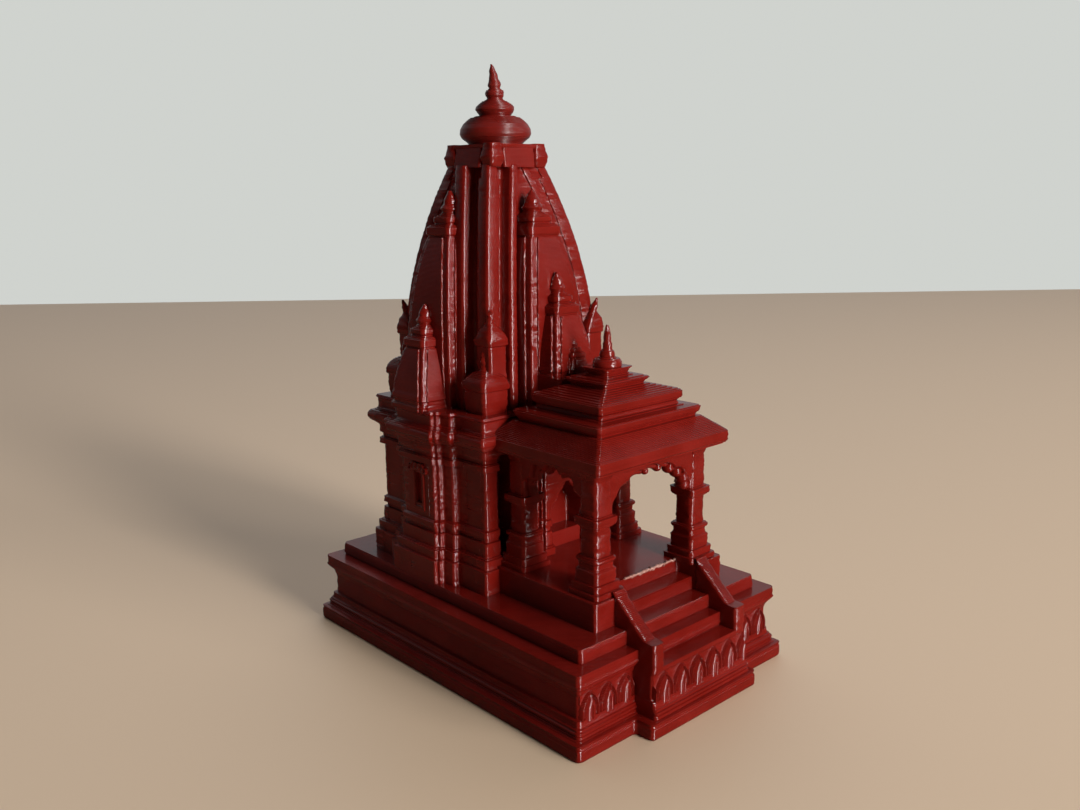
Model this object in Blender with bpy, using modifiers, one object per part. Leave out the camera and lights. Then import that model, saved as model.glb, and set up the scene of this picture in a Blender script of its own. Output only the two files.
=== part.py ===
"""Hindu temple desk model, printed in red plastic.

A small northern-style shrine: a moulded plinth with a stair, an open porch on four
pillars under a stepped roof, and a square sanctum that carries a curved tower with
half towers on its faces, turrets on its corners and a ribbed disc and finial on top.

Frame: +Z up, the stair looks towards -Y, the origin is the middle of the footprint on
the table. All sizes below are millimetres; meshes are made in metres.
"""

from math import cos, pi, sin

import bmesh
import bpy
from mathutils import Vector

MM = 0.001
GAP = 0.3                  # air kept between two pieces that touch

# Plinth: plan, and the height of the top of each course
PLINTH_HALF_X = 24.6
PLINTH_FRONT = -33.3
PLINTH_BACK = 36.6
FOOT_TOP = 2.65
DADO_TOP = 9.0
CORNICE_TOP = 12.5
TERRACE_TOP = 14.8
TERRACE_INSET_SIDE = 3.8
TERRACE_INSET_FRONT = 3.4
TERRACE_INSET_BACK = 2.85

# Stair: half widths, then the front edge and the height of each tread
STAIR_FOOT_HALF_X = 12.7
STAIR_FOOT_FRONT = -36.6
STAIR_HALF_X = 11.0
STAIR_BACK = -26.4
FLIGHT_HALF_X = 8.45
RAIL_INNER_X = 8.75
TREADS = ((-35.2, 10.3), (-32.1, 12.5), (-29.1, 14.75), (-26.4, 17.0))
RAIL_HEAD = 19.6
RAIL_NECK = (-33.4, 14.1)

# Porch
PORCH_Y = -15.3
PORCH_HALF_X = 15.1
PORCH_FRONT = -27.3
PORCH_FLOOR = 19.2
PORCH_STAIR_EDGE = -23.2
PILLAR_X = 11.1
PILLAR_FRONT_Y = -23.5
PILLAR_BACK_Y = -7.3
ARCH_THICK = 3.4
ARCH_SPRING = 31.9
ARCH_RISE = 4.6
FRONT_ARCH_LOBES = 7
SIDE_ARCH_LOBES = 5
EAVE_HALF_X = 15.3
EAVE_HALF_Y = 12.6
EAVE_BOTTOM = 38.9
EAVE_TOP = 43.2

# Roof tiers: half width, half depth, bottom and top of each
ROOF_TIERS = ((11.9, 9.8, 43.5, 45.1), (9.6, 7.8, 45.4, 47.8),
              (5.2, 4.6, 48.1, 50.2), (3.2, 2.8, 50.5, 51.7))
ROOF_TIP = 58.3

# Sanctum: its wall at the corner piers, and three offsets that step out of each face.
# A course's profile is (height, how far it stands out of the wall).
SANCTUM_Y = 10.8
WALL_HALF_X = 16.15
WALL_HALF_Y = 14.4
SIDE_STEPS = ((7.3, 1.15), (4.85, 2.1), (4.25, 2.8))
FRONT_STEPS = ((7.3, 1.15), (5.6, 1.9), (5.3, 2.5))
BASE_PROFILE = ((15.1, 1.8), (18.8, 1.8), (19.0, 1.3), (20.4, 1.3), (20.6, 0.55), (22.9, 0.55),
                (23.1, -0.3), (23.6, -0.3), (23.9, 0.45), (24.8, 0.45))
WALL_PROFILE = ((25.1, 0.0), (34.7, 0.0))
CORNICE_PROFILE = ((35.0, 0.67), (36.0, 0.67), (36.2, 0.15), (36.8, 0.15), (37.1, 0.6), (38.5, 0.6),
                   (39.4, 1.8), (40.2, 2.1), (41.0, 1.8), (41.6, 0.5), (43.6, 0.5))
LEDGE_TOP = 43.6

# Doorway niche in the sanctum's front
DOOR_HALF = 4.0
DOOR_SHOULDER = 26.4
DOOR_POINT = 30.8
DOOR_BACK_Y = -1.7
DOOR_STEP_FRONT = -5.0
DOOR_STEP_TOP = 21.9

# Tower
TOWER_Y = 11.0
TOWER_FOOT = 43.9
TOWER_TOP = 83.2
TOWER_FOOT_HALF = 12.4
TOWER_TOP_HALF = 6.0
TOWER_CURVE = 2.25
TOWER_STRETCH = 0.4        # wider by this from side to side, narrower from front to back
TOWER_LEVELS = 12
PIER_WIDTH = 2.95
GROOVE_WIDTH = 1.1
GROOVE_DEPTH = 1.1
NECK_HALF = 5.85
NECK_TOP = 86.6
DISC_RADIUS = 6.1
DISC_TOP = 91.3
TIP_TOP = 100.0

# Half towers: distance of the axis from the tower's axis, half width at foot and neck,
# heights of foot, neck and tip, and how the side bends
UPPER_SHRINE = dict(out=9.0, half=6.35, slim=3.5, foot=43.9, neck=71.6, tip=79.3, bend=3.3)
LOWER_SHRINE = dict(out=16.2, half=4.7, slim=2.9, foot=43.9, neck=53.6, tip=60.9, bend=1.7)
FRONT_SHRINE = dict(out=14.8, half=4.7, slim=2.9, foot=49.6, neck=59.0, tip=66.0, bend=1.7)
SMALL_SHRINE = dict(out=18.4, half=2.2, slim=1.7, foot=49.6, neck=52.2, tip=55.6, bend=1.7)
SHRINE_LEVELS = 6
PEDESTAL_HALF = 4.9
PEDESTAL_FRONT = -9.6
PEDESTAL_BACK = -4.75
PEDESTAL_TOP = 49.3

# Corner turrets: a low pavilion, and a slimmer one that stands behind it
TURRET_FOOT = 43.9
LOW_PAVILION = dict(at=(12.5, 10.95), half=2.7, eave=48.6, tip=54.9, lean=0.0)
HIGH_PAVILION = dict(at=(11.13, 10.93), half=1.83, eave=55.4, tip=60.6, lean=1.1)

RING_SIDES = 16
TURNED_SIDES = 48
COLLECTION = "hindu_temple"


def clear_scene():
    for obj in list(bpy.data.objects):
        bpy.data.objects.remove(obj)


def make_collection(name):
    collection = bpy.data.collections.new(name)
    bpy.context.scene.collection.children.link(collection)
    return collection


def make_material(name):
    """Glossy dark red printed plastic."""
    material = bpy.data.materials.new(name)
    material.use_nodes = True
    shader = material.node_tree.nodes["Principled BSDF"]
    shader.inputs["Base Color"].default_value = (0.26, 0.018, 0.014, 1.0)
    shader.inputs["Roughness"].default_value = 0.35
    shader.inputs["Metallic"].default_value = 0.0
    return material


def add_part(name, mesh):
    obj = bpy.data.objects.new(name, mesh)
    bpy.data.collections[COLLECTION].objects.link(obj)
    mesh.materials.append(make_material(name + "_plastic"))
    return obj


def add_cutter(name, mesh):
    obj = bpy.data.objects.new(name, mesh)
    bpy.data.collections["cutters"].objects.link(obj)
    obj.hide_render = True
    obj.display_type = "WIRE"
    return obj


def boolean(obj, other, operation="DIFFERENCE"):
    modifier = obj.modifiers.new(operation.lower(), "BOOLEAN")
    modifier.operation = operation
    modifier.solver = "EXACT"
    modifier.object = other


def rectangle(x0, x1, y0, y1):
    return [(x0, y0), (x1, y0), (x1, y1), (x0, y1)]


def square(half, at=(0.0, 0.0)):
    return rectangle(at[0] - half, at[0] + half, at[1] - half, at[1] + half)


def ring_plan(half, round_part, at):
    """Sixteen points between a square (0) and the circle inside it (1)."""
    points = []
    for i in range(RING_SIDES):
        angle = 2 * pi * i / RING_SIDES
        c, s = cos(angle), sin(angle)
        reach = half * ((1 - round_part) / max(abs(c), abs(s)) + round_part)
        points.append((at[0] + reach * c, at[1] + reach * s))
    return points


def stepped_plan(out):
    """Sanctum plan at a course that stands out of the wall by this much."""
    half_x, half_y = WALL_HALF_X + out, WALL_HALF_Y + out
    points = []
    for turn, steps in enumerate((FRONT_STEPS, SIDE_STEPS, SIDE_STEPS, SIDE_STEPS)):
        across, edge = (half_x, half_y) if turn % 2 == 0 else (half_y, half_x)
        left = [(-across, -edge)]
        level = 0.0
        for half, step in steps:
            left += [(-half - out, -edge - level), (-half - out, -edge - step)]
            level = step
        c, s = round(cos(turn * pi / 2)), round(sin(turn * pi / 2))
        side = left + [(-x, y) for x, y in reversed(left[1:])]
        points += [(c * x - s * y, s * x + c * y + SANCTUM_Y) for x, y in side]
    return points


def ribbed_plan(half, grow=0.0):
    """Tower plan: corner piers that grooves cut free from a flat middle."""
    points = []
    for turn in range(4):
        stretch = TOWER_STRETCH if turn % 2 == 0 else -TOWER_STRETCH
        corner, edge = half + stretch + grow, -(half - stretch + grow)
        pier = half + stretch - PIER_WIDTH - grow
        flat = half + stretch - PIER_WIDTH - GROOVE_WIDTH + grow
        left = [(-pier, edge), (-pier, edge + GROOVE_DEPTH), (-flat, edge + GROOVE_DEPTH), (-flat, edge)]
        c, s = round(cos(turn * pi / 2)), round(sin(turn * pi / 2))
        side = [(-corner, edge)] + left + [(-x, y) for x, y in reversed(left)]
        points += [(c * x - s * y, s * x + c * y + TOWER_Y) for x, y in side]
    return points


def mesh_from(bm, name):
    bmesh.ops.recalc_face_normals(bm, faces=bm.faces)
    mesh = bpy.data.meshes.new(name)
    bm.to_mesh(mesh)
    bm.free()
    return mesh


def rise(name, rings):
    """Extrude a plan upward through rings of (height, outline), all with as many points."""
    bm = bmesh.new()
    height, outline = rings[0]
    face = bm.faces.new([bm.verts.new(Vector((x, y, height)) * MM) for x, y in outline])
    for height, outline in rings[1:]:
        lower = face if len(face.edges[0].link_faces) > 1 else None
        grown = bmesh.ops.extrude_face_region(bm, geom=[face])
        face = [item for item in grown["geom"] if isinstance(item, bmesh.types.BMFace)][0]
        if lower:
            bm.faces.remove(lower)
        for vert, (x, y) in zip(face.verts, outline):
            vert.co = Vector((x, y, height)) * MM
    return mesh_from(bm, name)


def box(name, x0, x1, y0, y1, z0, z1):
    bm = bmesh.new()
    bmesh.ops.create_cube(bm, size=1.0)
    low, high = Vector((x0, y0, z0)), Vector((x1, y1, z1))
    for vert in bm.verts:
        for axis in range(3):
            vert.co[axis] = MM * (high[axis] if vert.co[axis] > 0 else low[axis])
    return mesh_from(bm, name)


def prism(name, outline, start, end, axis):
    """Extrude an outline along x or y; the outline is (other level axis, height)."""
    def place(a, b, along):
        return Vector((along, a, b) if axis == "x" else (a, along, b)) * MM
    bm = bmesh.new()
    face = bm.faces.new([bm.verts.new(place(a, b, start)) for a, b in outline])
    grown = bmesh.ops.extrude_face_region(bm, geom=[face])
    moved = [item for item in grown["geom"] if isinstance(item, bmesh.types.BMVert)]
    shift = Vector((end - start, 0, 0) if axis == "x" else (0, end - start, 0)) * MM
    bmesh.ops.translate(bm, verts=moved, vec=shift)
    return mesh_from(bm, name)


def turned(name, profile, at):
    """Round piece: a profile of (radius, height) from top to bottom, swept by Screw."""
    mesh = bpy.data.meshes.new(name)
    points = [(radius * MM, 0.0, height * MM) for radius, height in profile]
    edges = [(i, i + 1) for i in range(len(points) - 1)]
    mesh.from_pydata(points, edges, [])
    obj = add_part(name, mesh)
    obj.location = Vector((at[0], at[1], 0)) * MM
    screw = obj.modifiers.new("screw", "SCREW")
    screw.steps = TURNED_SIDES
    screw.render_steps = TURNED_SIDES
    screw.use_merge_vertices = True
    screw.merge_threshold = 0.00001
    screw.use_smooth_shade = True
    return obj


def moulded(name, profile, half_x, front, back):
    """Rectangular course; the profile is (height, inset of its edge)."""
    return rise(name, [(z, rectangle(-half_x + inset, half_x - inset, front + inset, back - inset))
                       for z, inset in profile])


def foot_plan(inset):
    """Lowest course of the plinth, which steps forward under the stair."""
    side, front, back = PLINTH_HALF_X - inset, PLINTH_FRONT + inset, PLINTH_BACK - inset
    stair, stair_front = STAIR_FOOT_HALF_X - inset, STAIR_FOOT_FRONT + inset
    return [(-side, front), (-stair, front), (-stair, stair_front), (stair, stair_front),
            (stair, front), (side, front), (side, back), (-side, back)]


def make_plinth():
    foot = [(0, 0.3), (0.3, 0), (FOOT_TOP - 0.3, 0), (FOOT_TOP, 0.2)]
    add_part("plinth_foot", rise("plinth_foot", [(z, foot_plan(inset)) for z, inset in foot]))
    dado = [(FOOT_TOP + GAP, 1.0), (4.1, 1.0), (4.7, 1.6), (5.3, 2.25), (DADO_TOP, 2.25)]
    cornice = [(DADO_TOP + GAP, 2.1), (9.9, 1.9), (10.9, 0.95), (11.3, 1.1), (CORNICE_TOP, 1.1)]
    notch = add_cutter("stair_notch", box("stair_notch", -STAIR_HALF_X - GAP, STAIR_HALF_X + GAP,
                                          STAIR_FOOT_FRONT - 5, STAIR_BACK + GAP,
                                          FOOT_TOP + 0.1, TERRACE_TOP + 2))
    for name, profile in (("plinth_dado", dado), ("plinth_cornice", cornice)):
        course = add_part(name, moulded(name, profile, PLINTH_HALF_X, PLINTH_FRONT, PLINTH_BACK))
        boolean(course, notch)
    half_x = PLINTH_HALF_X - TERRACE_INSET_SIDE
    terrace = add_part("terrace_slab", box("terrace_slab", -half_x, half_x,
                                           PLINTH_FRONT + TERRACE_INSET_FRONT,
                                           PLINTH_BACK - TERRACE_INSET_BACK,
                                           CORNICE_TOP + GAP, TERRACE_TOP))
    boolean(terrace, notch)


def make_stair():
    front, top = TREADS[0]
    block = [(FOOT_TOP + GAP, -0.9), (4.1, -0.9), (4.7, -0.4), (5.3, 0.3), (9.0, 0.3), (9.6, 0), (top, 0)]
    add_part("stair_block", rise("stair_block", [
        (z, rectangle(-STAIR_HALF_X + max(inset, 0), STAIR_HALF_X - max(inset, 0),
                      front + inset, STAIR_BACK)) for z, inset in block]))
    for index, (nosing, height) in enumerate(TREADS[1:], start=2):
        below = TREADS[index - 2][1] + GAP
        back = STAIR_BACK if height < TERRACE_TOP else PORCH_STAIR_EDGE - GAP
        bottom = below if height < TERRACE_TOP else TERRACE_TOP + GAP
        name = "stair_step_%d" % index
        add_part(name, box(name, -FLIGHT_HALF_X, FLIGHT_HALF_X, nosing, back, bottom, height))
    back = PORCH_FRONT - GAP
    rail = [(front, top + GAP), (back, top + GAP), (back, RAIL_HEAD), RAIL_NECK, (front, RAIL_NECK[1])]
    for side, sign in (("left", -1), ("right", 1)):
        name = "stair_rail_" + side
        add_part(name, prism(name, rail, sign * RAIL_INNER_X, sign * STAIR_HALF_X, "x"))


def sanctum_cutter():
    """The sanctum's outside, grown by the gap, which its neighbours are trimmed to."""
    profile = ((TERRACE_TOP - 1, 1.8), (18.9, 1.8), (19.2, 1.3), (20.5, 1.3), (20.7, 0.55), (23.5, 0.55),
               (24.9, 0.55), (25.3, 0.0), (34.5, 0.0), (34.7, 0.67), (38.3, 0.67), (39.2, 2.1),
               (41.2, 2.1), (41.8, 0.5), (PEDESTAL_TOP, 0.5))
    return add_cutter("sanctum_outside", rise("sanctum_outside", [
        (z, stepped_plan(out + GAP)) for z, out in profile]))


def make_porch_base(sanctum):
    front, edge, inner = PORCH_FRONT, PORCH_STAIR_EDGE, RAIL_INNER_X
    outline = [(-PORCH_HALF_X, front), (-inner, front), (-inner, edge), (inner, edge), (inner, front),
               (PORCH_HALF_X, front), (PORCH_HALF_X, PILLAR_BACK_Y + 3.6),
               (-PORCH_HALF_X, PILLAR_BACK_Y + 3.6)]
    floor = add_part("porch_floor", rise("porch_floor", [(TERRACE_TOP + GAP, outline), (PORCH_FLOOR, outline)]))
    boolean(floor, sanctum)


def make_pillars(sanctum):
    foot, top = PORCH_FLOOR + GAP, EAVE_BOTTOM - GAP
    profile = [(foot, 3.1), (20.0, 3.1), (20.0, 2.75), (21.1, 2.75), (21.1, 2.4), (23.2, 2.4),
               (23.4, 2.05), (24.2, 2.05), (24.5, 2.35), (25.0, 2.35), (25.3, 1.75), (29.6, 1.75),
               (29.9, 2.2), (30.3, 2.5), (31.2, 2.5), (31.5, 1.75), (top, 1.75)]
    for depth, y in (("front", PILLAR_FRONT_Y), ("back", PILLAR_BACK_Y)):
        for side, x in (("left", -PILLAR_X), ("right", PILLAR_X)):
            name = "pillar_%s_%s" % (depth, side)
            pillar = add_part(name, rise(name, [(z, square(half, (x, y))) for z, half in profile]))
            if depth == "back":
                boolean(pillar, sanctum)


def arch_outline(half, opening, top, lobes):
    """Spandrel over a cusped arch, around x = 0: round lobes between points on an ellipse."""
    cusps = [Vector((-opening * cos(pi * i / lobes), ARCH_SPRING + ARCH_RISE * sin(pi * i / lobes)))
             for i in range(lobes + 1)]
    points = [(half, top), (-half, top), (-half, ARCH_SPRING), tuple(cusps[0])]
    for start, end in zip(cusps, cusps[1:]):
        chord = end - start
        outward = Vector((-chord.y, chord.x)) * 0.35
        for step in (0.25, 0.5, 0.75):
            points.append(tuple(start + chord * step + outward * sin(pi * step)))
        points.append(tuple(end))
    return points + [(half, ARCH_SPRING)]


def make_arches():
    top = EAVE_BOTTOM - GAP
    span = PILLAR_X - 1.75 - GAP
    front = arch_outline(span, span - 1.2, top, FRONT_ARCH_LOBES)
    add_part("arch_front", prism("arch_front", front, PILLAR_FRONT_Y - ARCH_THICK / 2,
                                 PILLAR_FRONT_Y + ARCH_THICK / 2, "y"))
    middle = (PILLAR_FRONT_Y + PILLAR_BACK_Y) / 2
    span = (PILLAR_BACK_Y - PILLAR_FRONT_Y) / 2 - 1.75 - GAP
    side_arch = [(y + middle, z) for y, z in arch_outline(span, span - 1.2, top, SIDE_ARCH_LOBES)]
    for side, x in (("left", -PILLAR_X), ("right", PILLAR_X)):
        name = "arch_" + side
        add_part(name, prism(name, side_arch, x - ARCH_THICK / 2, x + ARCH_THICK / 2, "x"))


def porch_ring(half_x, half_y):
    return rectangle(-half_x, half_x, PORCH_Y - half_y, PORCH_Y + half_y)


def make_roof(sanctum):
    first = ROOF_TIERS[0]
    eave = add_part("porch_eave", rise("porch_eave", [
        (EAVE_BOTTOM, porch_ring(EAVE_HALF_X - 0.5, EAVE_HALF_Y - 0.5)),
        (EAVE_BOTTOM + 0.3, porch_ring(EAVE_HALF_X, EAVE_HALF_Y)),
        (EAVE_BOTTOM + 1.8, porch_ring(EAVE_HALF_X, EAVE_HALF_Y)),
        (EAVE_TOP, porch_ring(first[0] - 0.3, first[1] - 0.3))]))
    pedestal = add_cutter("pedestal_outside", box(
        "pedestal_outside", -PEDESTAL_HALF - GAP, PEDESTAL_HALF + GAP, PEDESTAL_FRONT - GAP,
        0, LEDGE_TOP - 0.5, PEDESTAL_TOP + 5))
    boolean(eave, sanctum)
    for index, (half_x, half_y, bottom, top) in enumerate(ROOF_TIERS, start=1):
        name = "roof_tier_%d" % index
        lip = bottom + 0.45 * (top - bottom)
        tier = add_part(name, rise(name, [
            (bottom, porch_ring(half_x - 0.6, half_y - 0.6)), (lip - 0.2, porch_ring(half_x - 0.5, half_y - 0.5)),
            (lip, porch_ring(half_x, half_y)), (top, porch_ring(half_x, half_y))]))
        if index <= 2:
            boolean(tier, sanctum)
            boolean(tier, pedestal)
    base = ROOF_TIERS[-1][3] + GAP
    turned("porch_finial", [(0, ROOF_TIP), (0.35, 57.6), (0.6, 56.6), (0.45, 56.2), (0.8, 55.4),
                            (0.65, 54.9), (1.15, 54.2), (1.2, 53.5), (2.0, 53.1), (2.3, 52.5),
                            (1.9, base), (0, base)], (0, PORCH_Y))


def make_sanctum():
    door = [(-DOOR_HALF, PORCH_FLOOR), (DOOR_HALF, PORCH_FLOOR), (DOOR_HALF, DOOR_SHOULDER),
            (0, DOOR_POINT), (-DOOR_HALF, DOOR_SHOULDER)]
    niche = add_cutter("door_niche", prism("door_niche", door, -20.0, DOOR_BACK_Y, "y"))
    courses = (("base", BASE_PROFILE), ("wall", WALL_PROFILE), ("cornice", CORNICE_PROFILE))
    for course, profile in courses:
        name = "sanctum_" + course
        solid = add_part(name, rise(name, [(z, stepped_plan(out)) for z, out in profile]))
        if course != "cornice":
            boolean(solid, niche)
    add_part("door_step", box("door_step", GAP - DOOR_HALF, DOOR_HALF - GAP, DOOR_STEP_FRONT,
                              DOOR_BACK_Y - GAP, PORCH_FLOOR + GAP, DOOR_STEP_TOP))


def tower_half(height):
    """Half width of the tower at a height: upright at the foot, closing to the neck."""
    part = max(0.0, (height - TOWER_FOOT) / (TOWER_TOP - TOWER_FOOT))
    return TOWER_FOOT_HALF + (TOWER_TOP_HALF - TOWER_FOOT_HALF) * part ** TOWER_CURVE


def tower_rings(grow, start, end):
    heights = [start + (end - start) * i / TOWER_LEVELS for i in range(TOWER_LEVELS + 1)]
    return [(z, ribbed_plan(tower_half(z), grow)) for z in heights]


def make_tower():
    add_part("tower_body", rise("tower_body", tower_rings(0.0, TOWER_FOOT, TOWER_TOP)))
    neck = [(TOWER_TOP + GAP, NECK_HALF), (84.8, NECK_HALF + 0.6), (86.1, NECK_HALF - 0.1),
            (NECK_TOP, NECK_HALF - 0.2)]
    add_part("tower_neck", rise("tower_neck", [(z, square(half, (0, TOWER_Y))) for z, half in neck]))
    low = NECK_TOP + GAP
    turned("tower_disc", [(0, DISC_TOP), (4.0, DISC_TOP), (4.9, 90.7), (5.9, 89.6), (DISC_RADIUS, 88.8),
                          (5.8, 88.0), (4.9, 87.3), (4.4, low), (0, low)], (0, TOWER_Y))
    low = DISC_TOP + GAP
    turned("tower_finial", [(0, TIP_TOP), (0.35, 99.2), (0.75, 98.0), (0.9, 97.2), (1.2, 96.6),
                            (0.95, 96.1), (1.6, 95.5), (1.55, 94.9), (1.3, 94.4), (2.6, 93.7),
                            (3.3, 92.9), (3.2, 92.4), (2.8, low), (0, low)], (0, TOWER_Y))


def shrine_rings(spec, at, grow=0.0):
    """Half tower: a square curved body, a cap, a round disc and a small finial."""
    foot, neck, tip = spec["foot"], spec["neck"], spec["tip"]
    rings = []
    for i in range(SHRINE_LEVELS + 1):
        part = i / SHRINE_LEVELS
        half = spec["half"] + (spec["slim"] - spec["half"]) * part ** spec["bend"]
        rings.append((foot + (neck - foot) * part, ring_plan(half + grow, 0, at)))
    slim, left = spec["slim"], tip - neck
    top = ((0.06, 0.85, 0), (0.10, 1.1, 0), (0.20, 1.12, 0), (0.26, 0.85, 0), (0.30, 0.75, 1),
           (0.36, 0.95, 1), (0.46, 0.98, 1), (0.54, 0.6, 1), (0.62, 0.32, 1), (0.70, 0.42, 1),
           (0.80, 0.24, 1), (1.0, 0.06, 1))
    for part, width, round_part in top:
        rings.append((neck + left * part, ring_plan(slim * width + grow, round_part, at)))
    return rings


def face_direction(face):
    return {"front": (0, -1), "left": (-1, 0), "right": (1, 0), "back": (0, 1)}[face]


def make_shrine(name, spec, face, cutters, joined=()):
    """One half tower, joined with others of its face and trimmed to what stands behind."""
    dx, dy = face_direction(face)
    at = (dx * spec["out"], TOWER_Y + dy * spec["out"])
    shrine = add_part(name, rise(name, shrine_rings(spec, at)))
    for number, other in enumerate(joined):
        other_at = (dx * other["out"], TOWER_Y + dy * other["out"])
        label = "%s_joined_%d" % (name, number)
        boolean(shrine, add_cutter(label, rise(label, shrine_rings(other, other_at))), "UNION")
    for cutter in cutters:
        boolean(shrine, cutter)
    outside = dict(spec, foot=spec["foot"] - 2)
    return add_cutter(name + "_outside", rise(name + "_outside", shrine_rings(outside, at, GAP)))


def make_shrines():
    core = add_cutter("tower_outside", rise("tower_outside", tower_rings(GAP, TOWER_FOOT - 2, TOWER_TOP + 0.1)))
    for face in ("front", "left", "right", "back"):
        upper = make_shrine("shrine_upper_" + face, UPPER_SHRINE, face, [core])
        if face == "front":
            make_shrine("shrine_lower_front", FRONT_SHRINE, face, [core, upper], [SMALL_SHRINE])
        else:
            make_shrine("shrine_lower_" + face, LOWER_SHRINE, face, [core, upper])
    add_part("front_pedestal", box("front_pedestal", -PEDESTAL_HALF, PEDESTAL_HALF, PEDESTAL_FRONT,
                                   PEDESTAL_BACK, LEDGE_TOP + GAP, PEDESTAL_TOP))
    return core


def triangulated(mesh):
    """Split a mesh's bent four-sided faces, so that a boolean meets flat ones."""
    bm = bmesh.new()
    bm.from_mesh(mesh)
    bmesh.ops.triangulate(bm, faces=[face for face in bm.faces if len(face.verts) == 4])
    bm.to_mesh(mesh)
    bm.free()
    return mesh


def pavilion_rings(spec, dx, dy):
    """Square pavilion with a flared eave, a domed roof and a tip that hugs the corner."""
    def ring(height, half, round_part, part):
        x, y = (side + spec["lean"] * part for side in spec["at"])
        return height, ring_plan(half, round_part, (dx * x, TOWER_Y + dy * y))

    half, eave, tip = spec["half"], spec["eave"], spec["tip"]
    rings = [ring(TURRET_FOOT, half, 0, 0), ring(eave - 0.8, half, 0, 0),
             ring(eave, half + 0.35, 0, 0), ring(eave + 0.4, half + 0.3, 0, 0)]
    roof = ((0.15, 0.86, 0), (0.3, 0.66, 0.3), (0.42, 0.4, 0.6), (0.5, 0.45, 1), (0.6, 0.3, 1),
            (0.7, 0.34, 1), (0.8, 0.2, 1), (1.0, 0.08, 1))
    for part, width, round_part in roof:
        rings.append(ring(eave + (tip - eave) * part, half * width, round_part, part))
    return rings


def make_turrets(core):
    for depth, dy in (("front", -1), ("back", 1)):
        for side, dx in (("left", -1), ("right", 1)):
            name = "turret_%s_%s" % (depth, side)
            low = triangulated(rise(name, pavilion_rings(LOW_PAVILION, dx, dy)))
            turret = add_part(name, low)
            high = triangulated(rise(name + "_high", pavilion_rings(HIGH_PAVILION, dx, dy)))
            high = add_cutter(name + "_high", high)
            boolean(turret, high, "UNION")
            boolean(turret, core)


def build():
    clear_scene()
    make_collection(COLLECTION)
    make_collection("cutters")
    make_plinth()
    make_stair()
    sanctum = sanctum_cutter()
    make_porch_base(sanctum)
    make_pillars(sanctum)
    make_arches()
    make_roof(sanctum)
    make_sanctum()
    make_tower()
    core = make_shrines()
    make_turrets(core)


build()
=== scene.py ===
"""Desk model of a hindu temple, printed in glossy red plastic.

The print is built up as it was made: nearly every piece is a stack of level layers,
0.2 mm high, whose outline follows the piece's moulding. Petals, niches and arches are
closed skins of their own. Sizes are millimetres unless a name says otherwise; the frame
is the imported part's, with the stair towards -Y. Each row of a table starts with a height.
"""

import zlib
from math import cos, pi, radians, sin

import bmesh
import bpy
import numpy as np
from mathutils import Matrix, Vector


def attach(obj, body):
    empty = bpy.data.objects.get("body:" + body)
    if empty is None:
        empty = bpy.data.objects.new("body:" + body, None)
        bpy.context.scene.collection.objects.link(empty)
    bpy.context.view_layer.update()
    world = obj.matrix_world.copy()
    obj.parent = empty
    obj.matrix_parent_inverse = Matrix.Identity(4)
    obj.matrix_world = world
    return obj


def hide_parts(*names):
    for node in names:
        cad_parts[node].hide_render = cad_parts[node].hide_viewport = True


MM = 0.001
LAYER = 0.2  # height of a print layer
BEAD = (0.2, 0.8)  # part of a stepped layer's height where its side is upright
STEEP = (0.10, 0.16)  # shift from layer to layer where a slope turns into steps
DRIFT = 0.0015  # how far a whole layer strays
SEAM = 0.042  # how far a corner strays
SEAM_SHRINE = 0.03
SEAM_TOWER = 0.026
SEAM_FINE = 0.02
SEAM_TURNED = 0.0
CORNER_GAP = 0.7  # points nearer to each other than this belong to a corner
ROUNDING = 0.5  # usual corner radius of the print
ROUNDING_LOW = 0.7  # plinth and terrace
ROUNDING_STAIR = 0.55
ROUNDING_PORCH = 0.6
ROUNDING_TOWER = 0.55
ROUNDING_MOULDED = 0.65  # pillars and porch roof
CORNER_SHARE = 0.42  # most of an edge that the arc of one corner may take
SHARP_ANGLE = radians(38)
PANEL_PITCH = 0.13  # mesh of a carved panel
PANEL_SUNK = 0.6  # how far its back lies in the wall

SANCTUM_Y = 10.8
TOWER_Y = 11.0
PORCH_Y = -15.3
PILLAR_X = 11.1
PILLAR_FRONT_Y = -23.5
PILLAR_BACK_Y = -7.3

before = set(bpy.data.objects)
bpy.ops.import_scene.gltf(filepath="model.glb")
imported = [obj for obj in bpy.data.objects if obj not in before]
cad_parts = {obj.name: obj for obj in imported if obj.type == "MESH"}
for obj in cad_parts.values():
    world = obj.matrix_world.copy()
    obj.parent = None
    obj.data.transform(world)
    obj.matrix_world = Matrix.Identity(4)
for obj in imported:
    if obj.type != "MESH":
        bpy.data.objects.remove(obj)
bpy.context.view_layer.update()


# ---------------------------------------------------------------- outlines

def outward(outline):
    """Unit vectors that point out of an outline that runs anticlockwise."""
    along = np.roll(outline, -1, 0) - np.roll(outline, 1, 0)
    normal = np.stack([along[:, 1], -along[:, 0]], 1)
    return normal / np.maximum(np.linalg.norm(normal, axis=1, keepdims=True), 1e-9)


def at_height(table, z):
    """Value at a height from rows of (height, value)."""
    heights, values = zip(*table)
    return float(np.interp(z, heights, values))


def soften(points, radius, steps=3):
    """Round every corner of an outline with an arc of some steps."""
    p = np.asarray(points, float)
    back, ahead = np.roll(p, 1, 0) - p, np.roll(p, -1, 0) - p
    far_back = np.linalg.norm(back, axis=1, keepdims=True)
    far_ahead = np.linalg.norm(ahead, axis=1, keepdims=True)
    reach = np.minimum(radius, CORNER_SHARE * np.minimum(far_back, far_ahead))
    to_back, to_ahead = back / far_back * reach, ahead / far_ahead * reach
    turns = [i / steps * pi / 2 for i in range(steps + 1)]
    arcs = [p + to_back * (1 - sin(a)) + to_ahead * (1 - cos(a)) for a in turns]
    return np.stack(arcs, 1).reshape(-1, 2)


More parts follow.
